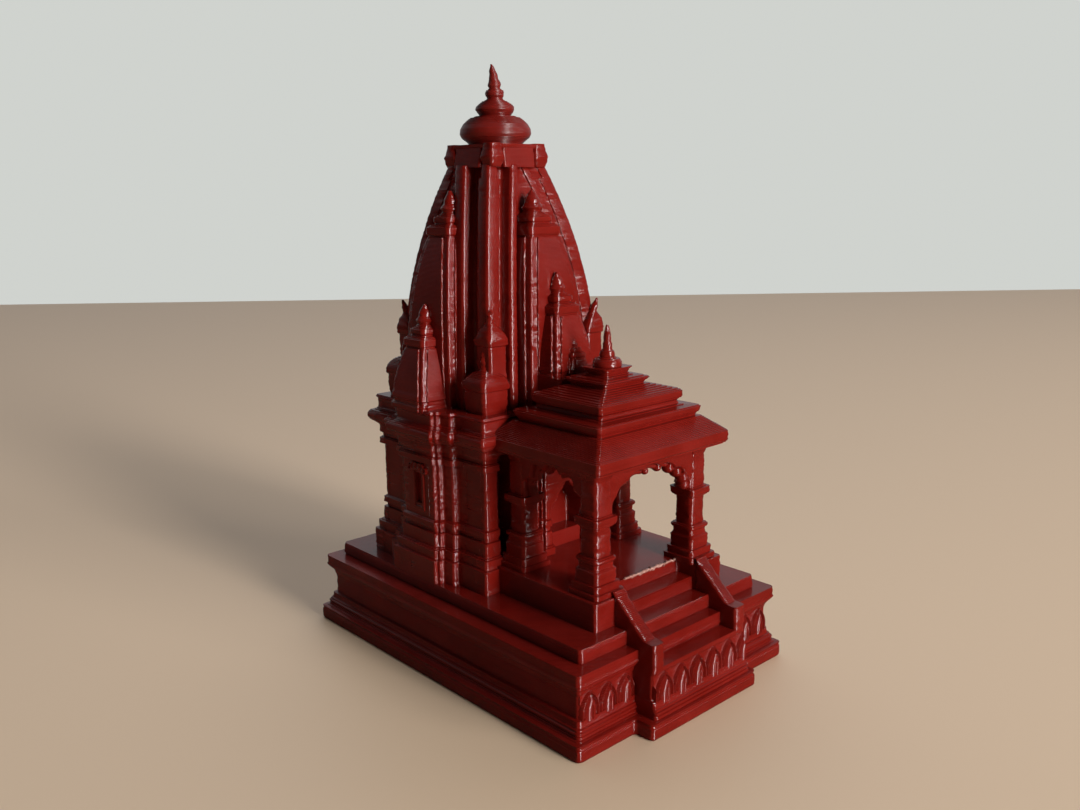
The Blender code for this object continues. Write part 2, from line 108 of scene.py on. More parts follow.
def oblong(side, front, back):
    """Corners of a rectangle that lies evenly about x = 0."""
    return [(-side, front), (side, front), (side, back), (-side, back)]


def quarter_turned(points, turn, at):
    """Points turned about the origin by some quarter turns, then moved."""
    c, s = round(cos(turn * pi / 2)), round(sin(turn * pi / 2))
    return [(at[0] + c * x - s * y, at[1] + s * x + c * y) for x, y in points]


def rounded(half_x, half_y, radius, at, steps):
    """Rectangle with round corners; a radius of its half makes a circle of it."""
    radius = min(radius, half_x, half_y)
    points = []
    for corner, (sx, sy) in enumerate(((1, 1), (-1, 1), (-1, -1), (1, -1))):
        for i in range(steps + 1):
            angle = (corner + i / steps) * pi / 2
            points.append((at[0] + sx * (half_x - radius) + radius * cos(angle),
                           at[1] + sy * (half_y - radius) + radius * sin(angle)))
    return np.array(points)


def upright(z):
    """The lean of a piece that does not lean."""
    return 0.0, 0.0


def blocks(table, at, steps=4):
    """Outline by height from rows of (height, half x, half y, corner radius)."""
    rows = np.array(table, float)

    def plan(z):
        half_x, half_y, radius = (np.interp(z, rows[:, 0], rows[:, i]) for i in (1, 2, 3))
        return rounded(half_x, half_y, radius, at, steps)
    return plan


def squares(table, at, steps=4, lean=upright):
    """Square outline by height from rows of (height, half, part that is round)."""
    rows = np.array(table, float)

    def plan(z):
        half, part = (np.interp(z, rows[:, 0], rows[:, i]) for i in (1, 2))
        radius = ROUNDING + part * max(0.0, half - ROUNDING)
        shift = lean(z)
        return rounded(half, half, radius, (at[0] + shift[0], at[1] + shift[1]), steps)
    return plan


def circles(table, at, sides, lean=upright):
    """Round outline by height from rows of (height, radius)."""
    rows = np.array(table, float)
    angles = np.arange(sides) * 2 * pi / sides

    def plan(z):
        radius = np.interp(z, rows[:, 0], rows[:, 1])
        shift = lean(z)
        return np.stack([at[0] + shift[0] + radius * np.cos(angles),
                         at[1] + shift[1] + radius * np.sin(angles)], 1)
    return plan


# ---------------------------------------------------------------- meshes

def finished(name, mesh, material, replaces=()):
    """Make an object of a mesh; say how it rides, its finish and what it stands for."""
    mesh.polygons.foreach_set("use_smooth", np.ones(len(mesh.polygons), bool))
    mesh.set_sharp_from_angle(angle=SHARP_ANGLE)
    mesh.materials.append(material)
    obj = bpy.data.objects.new(name, mesh)
    bpy.context.scene.collection.objects.link(obj)
    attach(obj, "root")
    even = obj.modifiers.new("even_walls", "WEIGHTED_NORMAL")
    even.keep_sharp = True
    if replaces:
        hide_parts(*replaces)
    return obj


def wander(rng, layers, around):
    """Random numbers that change slowly from layer to layer and along the outline."""
    raw = rng.normal(0, 1, (layers + 2, around))
    slow = raw[:-2] * 0.5 + raw[1:-1] + raw[2:] * 0.5
    even = slow + 0.8 * (np.roll(slow, 1, 1) + np.roll(slow, -1, 1))
    return even / even.std() if layers > 2 else even * 0.4


def stack_arrays(name, plan, bottom, top, seam):
    """Points and faces of a stack of layers whose outline is plan(height).

    A gentle slope ends in a step at each layer; a steep one runs through smoothly. Only
    the points of rounded corners stray by the seam, so that long walls stay flat.
    """
    rng = np.random.default_rng(zlib.crc32(name.encode()))
    count = max(1, round((top - bottom) / LAYER))
    step = (top - bottom) / count
    middles = [plan(bottom + (k + 0.5) * step) for k in range(count)]
    shifts = [np.abs(middles[min(k + 1, count - 1)] - middles[max(k - 1, 0)]).max(1) / 2
              for k in range(count)]
    stepped = [shift.max() > STEEP[0] for shift in shifts]
    stray = wander(rng, count, len(middles[0])) * seam
    rings = []
    for k, outline in enumerate(middles):
        z = bottom + k * step
        gap = np.linalg.norm(np.roll(outline, -1, 0) - outline, axis=1)
        in_corner = np.maximum(gap, np.roll(gap, 1)) < CORNER_GAP
        away = outward(outline) * (rng.normal(0, DRIFT) + stray[k] * in_corner)[:, None]
        if not any(stepped[max(k - 1, 0):k + 2]) and 0 < k < count - 1:
            rings.append((outline + away, z + 0.5 * step))
            continue
        level = np.interp(shifts[k], STEEP, (0.0, 1.0))[:, None]
        for part in (0.0 if k == 0 else BEAD[0], 1.0 if k == count - 1 else BEAD[1]):
            exact = plan(z + part * step)
            rings.append((outline * level + exact * (1 - level) + away, z + part * step))
    points = np.concatenate([np.c_[outline, np.full(len(outline), z)] for outline, z in rings])
    size, total = len(rings[0][0]), len(rings)
    i = np.arange(size)
    j = (i + 1) % size
    base = np.arange(total - 1)[:, None] * size
    quads = np.stack([base + i, base + j, base + size + j, base + size + i], 2).reshape(-1, 4)
    caps = [list(i[::-1]), list((total - 1) * size + i)]
    return points, quads, caps


def cut(points, face):
    """A flat face of many corners cut into triangles, ear by ear."""
    corners = np.array([points[v] for v in face], float)
    facing = np.cross(corners, np.roll(corners, -1, 0)).sum(0)
    drop = int(np.abs(facing).argmax())
    flat = np.delete(corners, drop, 1) * (1, -1 if drop == 1 else 1)
    flat = flat if facing[drop] > 0 else flat * (-1, 1)

    def turn(a, b, c):
        ab, ac = flat[b] - flat[a], flat[c] - flat[a]
        return ab[..., 0] * ac[..., 1] - ab[..., 1] * ac[..., 0]

    left, made = list(range(len(face))), []
    while len(left) > 3:
        ring = np.array(left)
        bends = turn(np.roll(ring, 1), ring, np.roll(ring, -1))
        hollow = ring[bends <= 0]
        for k in np.argsort(-bends):
            if bends[k] <= 0:  # no ear is left: the flattest corner just goes
                k = int(np.abs(bends).argmin())
                break
            a, b, c = left[k - 1], left[k], left[(k + 1) % len(left)]
            others = hollow[(hollow != a) & (hollow != b) & (hollow != c)]
            inside = ((turn(a, b, others) > 0) & (turn(b, c, others) > 0)
                      & (turn(c, a, others) > 0))
            if not inside.any():
                made.append([face[a], face[b], face[c]])
                break
        left.pop(k)
    made.append([face[v] for v in left])
    return made


def printed(name, plan, bottom, top, material, replaces=(), seam=SEAM):
    """One stack of layers as a piece."""
    return printed_group(name, [(plan, bottom, top)], material, replaces, seam)


def printed_group(name, stacks, material, replaces=(), seam=SEAM):
    """Several stacks of layers, (plan, bottom, top), kept together as one piece."""
    all_points, all_faces, offset = [], [], 0
    for number, (plan, bottom, top) in enumerate(stacks):
        points, quads, caps = stack_arrays("%s_%d" % (name, number), plan, bottom, top, seam)
        all_points.append(points)
        all_faces += (quads + offset).tolist()
        all_faces += [[v + offset for v in face] for cap in caps for face in cut(points, cap)]
        offset += len(points)
    mesh = bpy.data.meshes.new(name)
    mesh.from_pydata((np.concatenate(all_points) * MM).tolist(), [], all_faces)
    return finished(name, mesh, material, replaces)


def from_parts(name, parts, material, replaces=()):
    """One piece of several (points, faces), each a closed skin."""
    points, faces = [], []
    for more, more_faces in parts:
        for face in more_faces:
            pieces = cut(more, face) if len(face) > 4 else [face]
            faces += [[v + len(points) for v in piece] for piece in pieces]
        points += [[c * MM for c in point] for point in more]
    mesh = bpy.data.meshes.new(name)
    mesh.from_pydata(points, [], faces)
    bm = bmesh.new()
    bm.from_mesh(mesh)
    bmesh.ops.recalc_face_normals(bm, faces=bm.faces)
    bm.to_mesh(mesh)
    bm.free()
    return finished(name, mesh, material, replaces)


def carved_panel(span, rise, relief, place, pitch=PANEL_PITCH):
    """Closed slab whose face stands out by relief(across, height).

    Its edge and its back are sunk in the wall; place(across, height, out) puts it there.
    """
    columns = max(2, round((span[1] - span[0]) / pitch))
    rows = max(2, round((rise[1] - rise[0]) / pitch))
    points, faces = [], []
    for j in range(rows + 1):
        z = rise[0] + (rise[1] - rise[0]) * j / rows
        for i in range(columns + 1):
            across = span[0] + (span[1] - span[0]) * i / columns
            edge = i in (0, columns) or j in (0, rows)
            points.append(place(across, z, -PANEL_SUNK if edge else relief(across, z)))
    wide = columns + 1
    for j in range(rows):
        for i in range(columns):
            a = j * wide + i
            faces.append([a, a + 1, a + wide + 1, a + wide])
    rim = list(range(columns)) + [columns + j * wide for j in range(rows)]
    rim += [rows * wide + columns - i for i in range(columns)]
    rim += [(rows - j) * wide for j in range(rows)]
    middle = len(points)
    points.append(place((span[0] + span[1]) / 2, (rise[0] + rise[1]) / 2, -PANEL_SUNK))
    faces += [[b, a, middle] for a, b in zip(rim, rim[1:] + rim[:1])]
    return points, faces


def loft(rings):
    """Closed skin over rings of points that correspond."""
    count = len(rings[0])
    points = [point for ring in rings for point in ring]
    faces = [list(range(count))[::-1], [count * (len(rings) - 1) + i for i in range(count)]]
    for r in range(len(rings) - 1):
        low, high = r * count, (r + 1) * count
        faces += [[low + i, low + (i + 1) % count, high + (i + 1) % count, high + i]
                  for i in range(count)]
    return points, faces


def blob(centre, radii, around=10, rows=7):
    """A small drop of plastic."""
    rings = []
    for j in range(1, rows):
        tilt = pi * j / rows
        rings.append([(centre[0] + radii[0] * sin(tilt) * cos(2 * pi * i / around),
                       centre[1] + radii[1] * sin(tilt) * sin(2 * pi * i / around),
                       centre[2] - radii[2] * cos(tilt)) for i in range(around)])
    return loft(rings)


# ---------------------------------------------------------------- materials

ROW_PITCH = 0.56  # rows of plastic on level faces
LEVEL_FACE = 0.85  # upright part of the normal of a level face
GRAIN_SCALE = 1500.0
STREAK_SCALE = (60.0, 60.0, 3200.0)  # long along a layer, short from layer to layer
PATCH_SCALE = 160.0
STREAK_SHARE, PATCH_SHARE = 0.3, 0.7  # what each adds to the tone
TONE_STOPS = (0.38, 0.62)
GLOSS_FROM = (0.3, 0.7)
GLOSS_SPREAD = (-0.04, 0.06)  # roughness from patch to patch
PLASTIC_IOR = 1.48

RED_TONES = ((0.118, 0.0045, 0.0025), (0.148, 0.007, 0.0045))
TURNED_TONES = ((0.114, 0.0045, 0.0025), (0.142, 0.007, 0.0045))
# pale tones of the ripped step edge: partly plastic whitened where it tore, partly painted
# sheen of its rough scar
TORN_AND_SHEEN_TONES = ((0.26, 0.07, 0.05), (0.56, 0.33, 0.27))


def new_group(name, outputs, inputs):
    """Node group with its sockets: outputs (label, kind), inputs (label, kind, value)."""
    group = bpy.data.node_groups.new(name, "ShaderNodeTree")
    for label, kind, value in inputs:
        socket = group.interface.new_socket(name=label, in_out="INPUT", socket_type=kind)
        socket.default_value = value
    for label, kind in outputs:
        group.interface.new_socket(name=label, in_out="OUTPUT", socket_type=kind)
    return group


def node(tree, kind, **settings):
    """New node with its settings."""
    made = tree.nodes.new(kind)
    for key, value in settings.items():
        setattr(made, key, value)
    return made


def calc(tree, operation, a, b=None):
    """Output of a math node whose inputs are numbers or sockets."""
    made = node(tree, "ShaderNodeMath", operation=operation)
    for socket, value in zip(made.inputs, (a, b)):
        if value is None:
            continue
        if isinstance(value, (int, float)):
            socket.default_value = value
        else:
            tree.links.new(value, socket)
    return made.outputs[0]


def noise(tree, vector, scale, detail):
    """Output of a noise texture."""
    made = node(tree, "ShaderNodeTexNoise")
    made.inputs["Scale"].default_value = scale
    made.inputs["Detail"].default_value = detail
    tree.links.new(vector, made.inputs["Vector"])
    return made.outputs["Fac"]


def remap(tree, value, source, target):
    """A value carried from one range to another, held inside it."""
    made = node(tree, "ShaderNodeMapRange")
    labels = ("From Min", "From Max", "To Min", "To Max")
    for label, number in zip(labels, (*source, *target)):
        made.inputs[label].default_value = number
    tree.links.new(value, made.inputs["Value"])
    return made.outputs[0]


def switched(tree, chooser, usual, chosen):
    """The usual shader, or the chosen one where the chooser is 1."""
    mix = node(tree, "ShaderNodeMixShader")
    for socket, source in zip(mix.inputs, (chooser, usual, chosen)):
        tree.links.new(source, socket)
    return mix.outputs[0]


def ridges(tree, value, pitch):
    """Rounded ridges side by side, one to a pitch."""
    return calc(tree, "ABSOLUTE", calc(tree, "SINE", calc(tree, "MULTIPLY", value,
                                                          pi / (pitch * MM))))


def layer_lines_group():
    """Relief of the print: beads on walls, rows on level faces, and a fine unevenness."""
    group = new_group("layer_lines",
                      [("Height", "NodeSocketFloat"), ("Streak", "NodeSocketFloat")],
                      [("Bead", "NodeSocketFloat", 1.0), ("Rows", "NodeSocketFloat", 0.5),
                       ("Grain", "NodeSocketFloat", 0.5)])
    ins, outs = node(group, "NodeGroupInput"), node(group, "NodeGroupOutput")
    where = node(group, "ShaderNodeTexCoord").outputs["Object"]
    split = node(group, "ShaderNodeSeparateXYZ")
    group.links.new(where, split.inputs[0])
    x, y, z = split.outputs
    normal = node(group, "ShaderNodeSeparateXYZ")
    group.links.new(node(group, "ShaderNodeNewGeometry").outputs["True Normal"],
                    normal.inputs[0])
    level = calc(group, "GREATER_THAN", calc(group, "ABSOLUTE", normal.outputs[2]), LEVEL_FACE)
    bead = ridges(group, z, LAYER)
    rows = ridges(group, calc(group, "ADD", x, y), ROW_PITCH)
    wall = calc(group, "MULTIPLY", calc(group, "MULTIPLY", bead, ins.outputs["Bead"]),
                calc(group, "SUBTRACT", 1.0, level))
    flat = calc(group, "MULTIPLY", calc(group, "MULTIPLY", rows, ins.outputs["Rows"]), level)
    grain = calc(group, "MULTIPLY", noise(group, where, GRAIN_SCALE, 3.0),
                 ins.outputs["Grain"])
    height = calc(group, "ADD", calc(group, "ADD", wall, flat), grain)
    squeeze = node(group, "ShaderNodeVectorMath", operation="MULTIPLY")
    squeeze.inputs[1].default_value = STREAK_SCALE
    group.links.new(where, squeeze.inputs[0])
    streak = noise(group, squeeze.outputs[0], 1.0, 2.0)
    group.links.new(height, outs.inputs["Height"])
    group.links.new(streak, outs.inputs["Streak"])
    return group


def plastic(name, tones, roughness, bump):
    """Printed plastic: colour between two tones by layer and patch, lines bump high."""
    material = bpy.data.materials.new(name)
    material.use_nodes = True
    tree = material.node_tree
    shader = tree.nodes["Principled BSDF"]
    lines = node(tree, "ShaderNodeGroup", node_tree=bpy.data.node_groups["layer_lines"])
    where = node(tree, "ShaderNodeTexCoord").outputs["Object"]
    patch = noise(tree, where, PATCH_SCALE, 3.0)
    tone = calc(tree, "ADD", calc(tree, "MULTIPLY", lines.outputs["Streak"], STREAK_SHARE),
                calc(tree, "MULTIPLY", patch, PATCH_SHARE))
    ramp = node(tree, "ShaderNodeValToRGB")
    for stop, position, colour in zip(ramp.color_ramp.elements, TONE_STOPS, tones):
        stop.position = position
        stop.color = (*colour, 1.0)
    tree.links.new(tone, ramp.inputs[0])
    tree.links.new(ramp.outputs[0], shader.inputs["Base Color"])
    gloss = remap(tree, patch, GLOSS_FROM, [roughness + change for change in GLOSS_SPREAD])
    tree.links.new(gloss, shader.inputs["Roughness"])
    relief = node(tree, "ShaderNodeBump")
    relief.inputs["Strength"].default_value = 1.0
    relief.inputs["Distance"].default_value = bump * MM
    tree.links.new(lines.outputs["Height"], relief.inputs["Height"])
    tree.links.new(relief.outputs[0], shader.inputs["Normal"])
    shader.inputs["IOR"].default_value = PLASTIC_IOR
    return material


# ---------------------------------------------------------------- plinth and stair

PLINTH_SIDE, PLINTH_FRONT, PLINTH_BACK = 24.6, -33.3, 36.6
STAIR_FOOT_SIDE, STAIR_FOOT_FRONT = 12.7, -36.6
TERRACE_SIDE, TERRACE_FRONT, TERRACE_BACK = 20.8, -29.9, 33.75
TERRACE_TABLE = ((12.4, 0.15), (12.9, 0.0), (14.3, 0.0), (14.8, 0.15))
PLINTH_TABLE = (  # height, how far the moulding lies in
    (0.0, 0.2), (0.3, 0.0), (1.95, 0.0), (2.1, 0.28), (2.3, 0.05), (2.6, 0.05), (2.75, 1.0),
    (3.15, 1.0), (3.3, 1.3), (3.5, 1.0), (3.75, 1.0), (3.9, 1.35), (4.1, 1.12), (4.3, 1.5),
    (4.55, 1.6), (5.1, 1.65), (5.3, 2.2), (8.7, 2.2), (9.0, 2.05), (9.5, 1.95), (9.9, 1.75),
    (10.5, 1.25), (10.9, 0.95), (11.1, 1.1), (12.6, 1.1))
BLOCK_TABLE = (  # height, front of the stair block
    (2.6, -36.0), (2.75, -36.1), (3.15, -36.1), (3.3, -35.8), (3.5, -36.1), (3.75, -36.1),
    (3.9, -35.7), (4.1, -35.95), (4.3, -35.7), (4.6, -35.6), (5.1, -35.5), (5.3, -34.9),
    (8.9, -34.9), (9.3, -35.0), (9.6, -35.2), (10.3, -35.2))
BLOCK_SIDE_TABLE = ((2.6, 0.5), (4.3, 0.3), (5.1, 0.15), (5.3, 0.0))
BLOCK_SIDE, BLOCK_BACK = 11.0, -27.0
FLIGHT = (  # nosing, foot and top of each step
    (-32.1, 10.3, 12.5), (-29.1, 12.5, 14.75), (-26.4, 14.75, 17.0), (-23.2, 17.0, 19.2))
FLIGHT_SIDE, FLIGHT_FRONT, FLIGHT_BACK = 8.7, -35.2, -22.9
NOSING_EASE = 0.12  # how far a step's top layer lies back
RAIL_TABLE = ((10.0, -35.26), (14.1, -35.2), (14.2, -33.4), (20.0, -27.2))
RAIL_NEAR, RAIL_FAR, RAIL_BACK = 8.55, 11.0, -26.9


def foot_plan(z):
    inset = at_height(PLINTH_TABLE, z)
    side, front, back = PLINTH_SIDE - inset, PLINTH_FRONT + inset, PLINTH_BACK - inset
    stair, stair_front = STAIR_FOOT_SIDE - inset, STAIR_FOOT_FRONT + inset
    return soften([(-side, front), (-stair, front), (-stair, stair_front),
                   (stair, stair_front), (stair, front), (side, front), (side, back),
                   (-side, back)], ROUNDING_LOW)


def body_plan(z):
    inset = at_height(PLINTH_TABLE, z)
    return soften(oblong(PLINTH_SIDE - inset, PLINTH_FRONT + inset, PLINTH_BACK - inset),
                  ROUNDING_LOW)


def terrace_plan(z):
    ease = at_height(TERRACE_TABLE, z)
    return soften(oblong(TERRACE_SIDE - ease, TERRACE_FRONT + ease, TERRACE_BACK - ease),
                  ROUNDING_LOW)


def stair_block_plan(z):
    side = BLOCK_SIDE + at_height(BLOCK_SIDE_TABLE, z)
    return soften(oblong(side, at_height(BLOCK_TABLE, z), BLOCK_BACK), ROUNDING_STAIR)


def flight_plan(z):
    front = FLIGHT_FRONT
    for nosing, foot, top in FLIGHT:
        if z > foot:
            front = nosing + (NOSING_EASE if z > top - LAYER else 0.0)
    return soften(oblong(FLIGHT_SIDE, front, FLIGHT_BACK), 0.2)


def rail_plan(sign):
    """Side wall of the stair, on the right for sign 1 and on the left for -1."""
    def plan(z):
        front = at_height(RAIL_TABLE, z)
        shape = [(RAIL_NEAR, front), (RAIL_FAR, front), (RAIL_FAR, RAIL_BACK),
                 (RAIL_NEAR, RAIL_BACK)]
        if sign < 0:
            shape = [(-x, y) for x, y in reversed(shape)]
        return soften(shape, ROUNDING_STAIR)
    return plan


PETAL_FOOT, PETAL_TIP = 4.75, 9.35  # heights
PETAL_TAPER = 2.1  # the more, the later a petal narrows
RIM_WIDTH, HEART_WIDTH = 0.5, 0.85
GROUND_OUT, RIM_OUT, HEART_OUT = 0.05, 0.6, 0.8
HOLLOW_DEPTH, HOLLOW_HALF = 0.28, 0.3
BLOCK_DADO_Y, PLINTH_DADO_Y = -34.85, -31.05
WING_INNER, WING_OUTER = 11.1, 22.25
WING_CENTRE = 0.744  # a petal stands at this part of the outer end


def petal_relief(centre, pitch):
    """Nested pointed petals: a rim, a groove and a heart with a hollow in its middle."""
    def relief(across, z):
        u = (across - centre) / pitch
        x = abs(u - round(u)) * pitch
        part = max(0.0, ((z - PETAL_FOOT) / (PETAL_TIP - PETAL_FOOT) - 0.3) / 0.7)
        inside = (max(0.0, 1 - part ** PETAL_TAPER) * pitch / 2 - x) * 0.85
        if part >= 1 or inside <= 0:
            return GROUND_OUT
        if inside < RIM_WIDTH:
            return GROUND_OUT + RIM_OUT * sin(pi * inside / RIM_WIDTH) ** 0.7
        heart = min(1.0, (inside - RIM_WIDTH) / HEART_WIDTH)
        hollow = HOLLOW_DEPTH * max(0.0, 1 - (x / HOLLOW_HALF) ** 2) * (part < 0.3)
        return GROUND_OUT + HEART_OUT * sin(heart * pi / 2) ** 0.8 - hollow
    return relief


def build_petals(red):
    """Petals on the front of the stair block and on the plinth at both sides of it."""
    panels = [carved_panel((-10.85, 10.85), (4.5, 9.5), petal_relief(-0.6, 3.9),
                           lambda a, z, t: (a, BLOCK_DADO_Y - t, z))]
    for side in (-1, 1):
        span = sorted((side * WING_INNER, side * WING_OUTER))
        panels.append(carved_panel(span, (4.7, 9.6),
                                   petal_relief(side * WING_OUTER * WING_CENTRE, 3.8),
                                   lambda a, z, t: (a, PLINTH_DADO_Y - t, z)))
    from_parts("plinth_petals_print", panels, red)


def build_plinth(red):
    printed("plinth_foot_print", foot_plan, 0.0, 2.7, red, ("plinth_foot",))
    printed("plinth_body_print", body_plan, 2.6, 12.6, red, ("plinth_dado", "plinth_cornice"))
    printed("terrace_print", terrace_plan, 12.4, 14.8, red, ("terrace_slab",))


def build_stair(red):
    printed("stair_block_print", stair_block_plan, 2.6, 10.3, red, ("stair_block",))
    printed("stair_flight_print", flight_plan, 10.1, 19.2, red,
            ("stair_step_2", "stair_step_3", "stair_step_4"))
    printed("stair_rail_left_print", rail_plan(-1), 10.1, 20.1, red, ("stair_rail_left",))
    printed("stair_rail_right_print", rail_plan(1), 10.1, 20.1, red, ("stair_rail_right",))


# ---------------------------------------------------------------- porch

PORCH_TABLE = ((14.6, 0.0), (14.9, 0.0), (18.9, 0.0), (19.2, 0.08))
PORCH_SIDE, PORCH_FRONT, PORCH_BACK = 15.1, -27.3, -3.2
PORCH_STAIR_SIDE, PORCH_STAIR_Y = 8.6, -23.2
PILLAR_TABLE = (  # height, half width
    (19.0, 3.15), (19.9, 3.15), (20.1, 2.74), (21.1, 2.74), (21.3, 2.36), (23.1, 2.36),
    (23.4, 2.05), (24.3, 2.05), (24.6, 2.35), (25.0, 2.35), (25.3, 1.75), (29.7, 1.75),
    (30.0, 2.1), (30.3, 2.45), (31.3, 2.5), (31.6, 1.8), (37.0, 1.75), (38.2, 2.2),
    (39.2, 2.7))


def porch_base_plan(z):
    ease = at_height(PORCH_TABLE, z)
    side, front = PORCH_SIDE - ease, PORCH_FRONT + ease
    return soften([(-side, front), (-PORCH_STAIR_SIDE, front),
                   (-PORCH_STAIR_SIDE, PORCH_STAIR_Y), (PORCH_STAIR_SIDE, PORCH_STAIR_Y),
                   (PORCH_STAIR_SIDE, front), (side, front), (side, PORCH_BACK),
                   (-side, PORCH_BACK)], ROUNDING_PORCH)


def ragged_nosing(near, far, y, z, count=64, around=8):
    """Uneven bead of ripped plastic along an edge."""
    rng = np.random.default_rng(19)
    rings = []
    for i in range(count + 1):
        part = i / count
        thick = 0.38 * (0.25 + 0.75 * sin(pi * part) ** 0.3) * rng.uniform(0.45, 1.2)
        up, out = rng.uniform(-0.1, 0.1), rng.uniform(-0.1, 0.06)
        rings.append([(near + (far - near) * part,
                       y + out + thick * cos(2 * pi * j / around),
                       z + up + thick * 0.75 * sin(2 * pi * j / around))
                      for j in range(around)])
    return loft(rings)


def build_porch_floor(red, torn_and_sheen):
    printed("porch_base_print", porch_base_plan, 14.6, 19.2, red, ("porch_floor",))
    # the ripped step edge is pale plastic whose paleness is partly painted sheen
    from_parts("porch_nosing_print", [ragged_nosing(-4.6, 8.4, -23.12, 19.14)], torn_and_sheen)


def build_pillars(red):
    table = [(z, half, half, ROUNDING_MOULDED) for z, half in PILLAR_TABLE]
    for depth, y in (("front", PILLAR_FRONT_Y), ("back", PILLAR_BACK_Y)):
        for side, x in (("left", -PILLAR_X), ("right", PILLAR_X)):
            name = "pillar_%s_%s" % (depth, side)
            printed(name + "_print", blocks(table, (x, y)), 19.0, 39.2, red, (name,))


ARCH_TOP, ARCH_SPRING = 39.1, 31.8
ARCH_FOOT = 0.3  # how far the wall reaches below the spring
ARCH_OVERLAP = 1.3  # how far it reaches into the pillars
LOBE_STEPS = 8
ARCH_PROFILE = (  # across the wall, how far the edge is eased
    (-1.65, 0.75), (-1.5, 0.42), (-1.2, 0.17), (-0.7, 0.03), (0.7, 0.03), (1.2, 0.17),
    (1.5, 0.42), (1.65, 0.75))
ARCH_EASE = 0.6
ARCH_SKINS = ((1.0, 0.7, 4.9), (0.52, 1.45, 4.2))  # thickness, narrower by, height
CUSP_FRONT, CUSP_SIDE = 0.16, 0.42  # depth of a scallop, as part of its width
DROPS = ((98, 0.75), (76, 0.9), (56, 1.1), (38, 1.2), (21, 1.25), (5, 1.15))


def arch_outline(half, opening, lobes, height, cusp):
    """Wall over a scalloped arch, around x = 0."""
    foot = ARCH_SPRING - ARCH_FOOT
    cusps = [Vector((-opening * cos(pi * i / lobes),
                     ARCH_SPRING + height * sin(pi * i / lobes))) for i in range(lobes + 1)]
    points = [(half, ARCH_TOP), (-half, ARCH_TOP), (-half, foot), (cusps[0].x, foot)]
    for start, end in zip(cusps, cusps[1:]):
        chord = end - start
        out = Vector((-chord.y, chord.x)) * cusp
        for i in range(1, LOBE_STEPS):
            points.append(tuple(start + chord * (i / LOBE_STEPS)
                                + out * sin(pi * i / LOBE_STEPS)))
        points.append(tuple(end))
    return points + [(cusps[-1].x, foot), (half, foot)]


def arch_drops(half):
    """Drops that hang from the front arch, from its crown to its right foot."""
    drops = []
    for angle, size in DROPS:
        turn = radians(angle)
        uneven = 0.2 * cos(angle)  # of degrees on purpose: it only has to vary
        spot = ((half - 1.0) * cos(turn), PILLAR_FRONT_Y - 0.65 + uneven,
                ARCH_SPRING + 4.7 * sin(turn))
        drops.append(blob(spot, (0.85 * size, 0.95 * size, 0.8 * size)))
    return drops


def build_arches(red):
    side_y = (PILLAR_FRONT_Y + PILLAR_BACK_Y) / 2
    front_half, side_half = PILLAR_X - 1.6, (PILLAR_BACK_Y - PILLAR_FRONT_Y) / 2 - 1.6
    arches = {
        "arch_front": (front_half, 7, CUSP_FRONT, lambda a, b, t: (a, PILLAR_FRONT_Y + t, b)),
        "arch_left": (side_half, 5, CUSP_SIDE, lambda a, b, t: (-PILLAR_X - t, side_y - a, b)),
        "arch_right": (side_half, 5, CUSP_SIDE, lambda a, b, t: (PILLAR_X + t, side_y + a, b)),
    }
    for name, (half, lobes, cusp, place) in arches.items():
        parts = []
        for thick, shrink, rise in ARCH_SKINS:
            rings = []
            for t, spread in ARCH_PROFILE:
                ease = spread * ARCH_EASE
                outline = arch_outline(half + ARCH_OVERLAP, half - shrink + ease, lobes,
                                       rise + ease, cusp)
                rings.append([place(a, b, t * thick) for a, b in outline])
            parts.append(loft(rings))
        if name == "arch_front":
            parts += arch_drops(half)
        from_parts(name + "_print", parts, red, (name,))


ROOF_TABLE = (  # height, half x, half y
    (38.6, 14.6, 12.1), (38.9, 15.1, 12.55), (39.2, 15.33, 12.8), (40.75, 15.33, 12.8),
    (43.3, 12.0, 9.9), (43.45, 11.3, 9.2), (43.8, 11.4, 9.3), (44.1, 11.7, 9.6),
    (44.9, 11.9, 9.8), (45.1, 11.6, 9.5), (45.3, 9.2, 7.4), (45.9, 9.0, 7.2),
    (46.3, 9.3, 7.5), (46.5, 9.6, 7.8), (47.5, 9.65, 7.85), (47.8, 9.2, 7.4),
    (48.9, 5.2, 4.4), (49.0, 4.7, 4.0), (49.4, 4.8, 4.2), (49.9, 5.25, 4.65),
    (50.15, 5.0, 4.4), (50.4, 3.3, 2.9), (50.7, 2.7, 2.3), (51.3, 2.9, 2.5),
    (51.5, 3.2, 2.8), (51.7, 3.2, 2.8))
PORCH_FINIAL_TABLE = (  # height, radius
    (51.2, 1.9), (51.5, 2.1), (51.8, 2.33), (52.5, 2.33), (53.0, 2.0), (53.2, 1.15),
    (53.5, 1.25), (54.1, 1.15), (54.4, 0.8), (55.0, 0.72), (55.3, 0.78), (55.6, 0.6),
    (56.2, 0.62), (56.9, 0.56), (57.5, 0.4), (58.1, 0.25), (58.3, 0.12))


def build_roof(red):
    table = [(z, half_x, half_y, ROUNDING_MOULDED) for z, half_x, half_y in ROOF_TABLE]
    printed("porch_roof_print", blocks(table, (0.0, PORCH_Y)), 38.6, 51.7, red,
            ("porch_eave", "roof_tier_1", "roof_tier_2", "roof_tier_3", "roof_tier_4"))
    printed("porch_finial_print", circles(PORCH_FINIAL_TABLE, (0.0, PORCH_Y), 40), 51.2, 58.3,
            red, ("porch_finial",), SEAM_FINE)


# ---------------------------------------------------------------- sanctum

